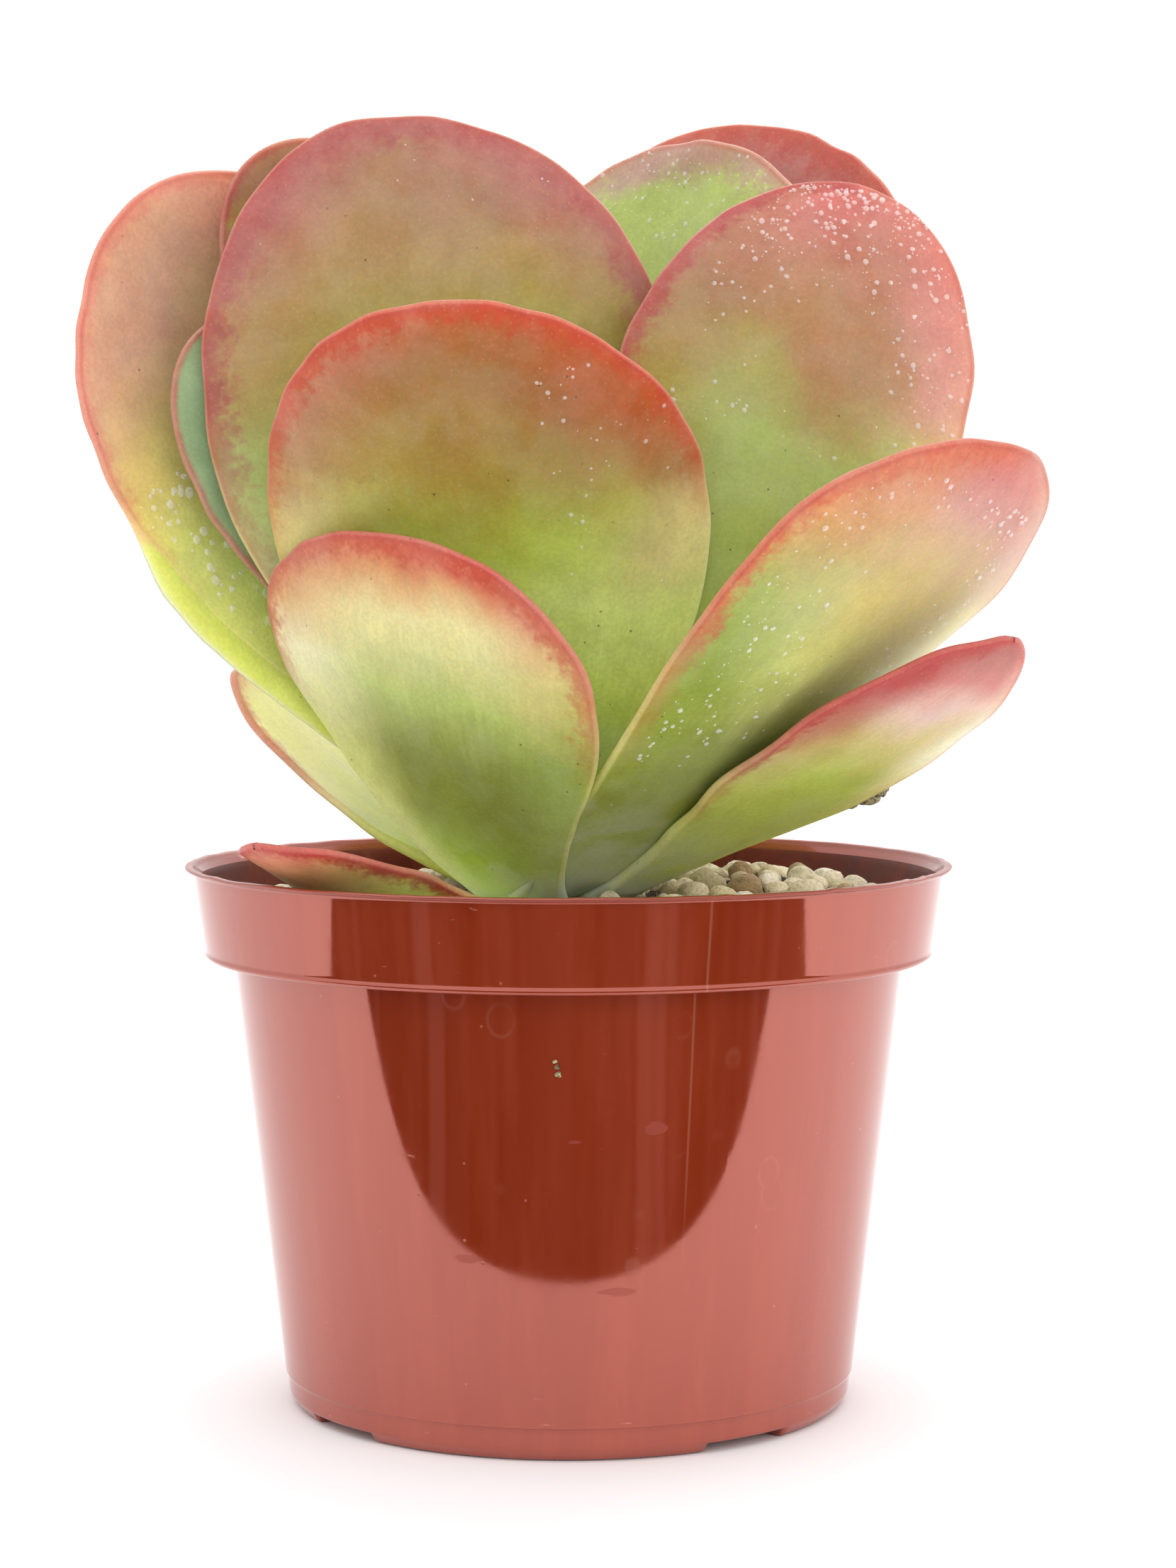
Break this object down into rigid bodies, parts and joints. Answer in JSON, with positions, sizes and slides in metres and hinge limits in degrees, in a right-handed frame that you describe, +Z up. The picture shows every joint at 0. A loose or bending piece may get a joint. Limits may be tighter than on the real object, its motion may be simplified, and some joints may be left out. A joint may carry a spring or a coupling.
{
  "type": "potted paddle plant",
  "caption": "Young paddle plant with thick round red-edged leaves in crossed pairs on a short stem, growing in a round collared plastic nursery pot.",
  "frame": {"origin": "on the surface the pot stands on, under the middle of the whole plant's bounding box; the pot's axis is 3.4 mm towards +X and 6.8 mm towards +Y of it, because the leaves lean forward and left", "axes": "+Z up; -Y is the front, the side with the lowest round leaf; +X is the plant's right seen from the front"},
  "size_m": [0.1822, 0.1738, 0.2616],
  "materials": {
    "pot_plastic": "glossy moulded terracotta-coloured polypropylene",
    "soil": null,
    "pumice": "rough cream pumice",
    "stem": null,
    "leaf_young_left": null,
    "leaf_young_right": null,
    "leaf_centre_tall": null,
    "leaf_back_green": null,
    "leaf_right_tall": null,
    "leaf_left_inner": null,
    "leaf_left_green": null,
    "leaf_front_middle": null,
    "leaf_back_tall": null,
    "leaf_left_wide": null,
    "leaf_right_middle": null,
    "leaf_front_low": null,
    "leaf_back_low": null,
    "leaf_right_low": null,
    "leaf_left_low": null,
    "leaf_left_flat": null,
    "leaf_back_flat": null
  },
  "bodies": {
    "root": {"leaf_back_flat": "leaf_back_flat", "leaf_back_green": "leaf_back_green", "leaf_back_low": "leaf_back_low", "leaf_back_tall": "leaf_back_tall", "leaf_centre_tall": "leaf_centre_tall", "leaf_front_low": "leaf_front_low", "leaf_front_middle": "leaf_front_middle", "leaf_left_flat": "leaf_left_flat", "leaf_left_green": "leaf_left_green", "leaf_left_inner": "leaf_left_inner", "leaf_left_low": "leaf_left_low", "leaf_left_wide": "leaf_left_wide", "leaf_right_low": "leaf_right_low", "leaf_right_middle": "leaf_right_middle", "leaf_right_tall": "leaf_right_tall", "leaf_young_left": "leaf_young_left", "leaf_young_right": "leaf_young_right", "pebble_01": "pumice", "pebble_02": "pumice", "pebble_03": "pumice", "pebble_04": "pumice", "pebble_05": "pumice", "pebble_06": "pumice", "pebble_07": "pumice", "pebble_08": "pumice", "pebble_09": "pumice", "pebble_10": "pumice", "pebble_11": "pumice", "pebble_12": "pumice", "pebble_13": "pumice", "pebble_14": "pumice", "pebble_15": "pumice", "pebble_16": "pumice", "pebble_17": "pumice", "pebble_18": "pumice", "pebble_19": "pumice", "pebble_20": "pumice", "pot": "pot_plastic", "soil": "soil", "stem": "stem"}
  },
  "joints": []
}
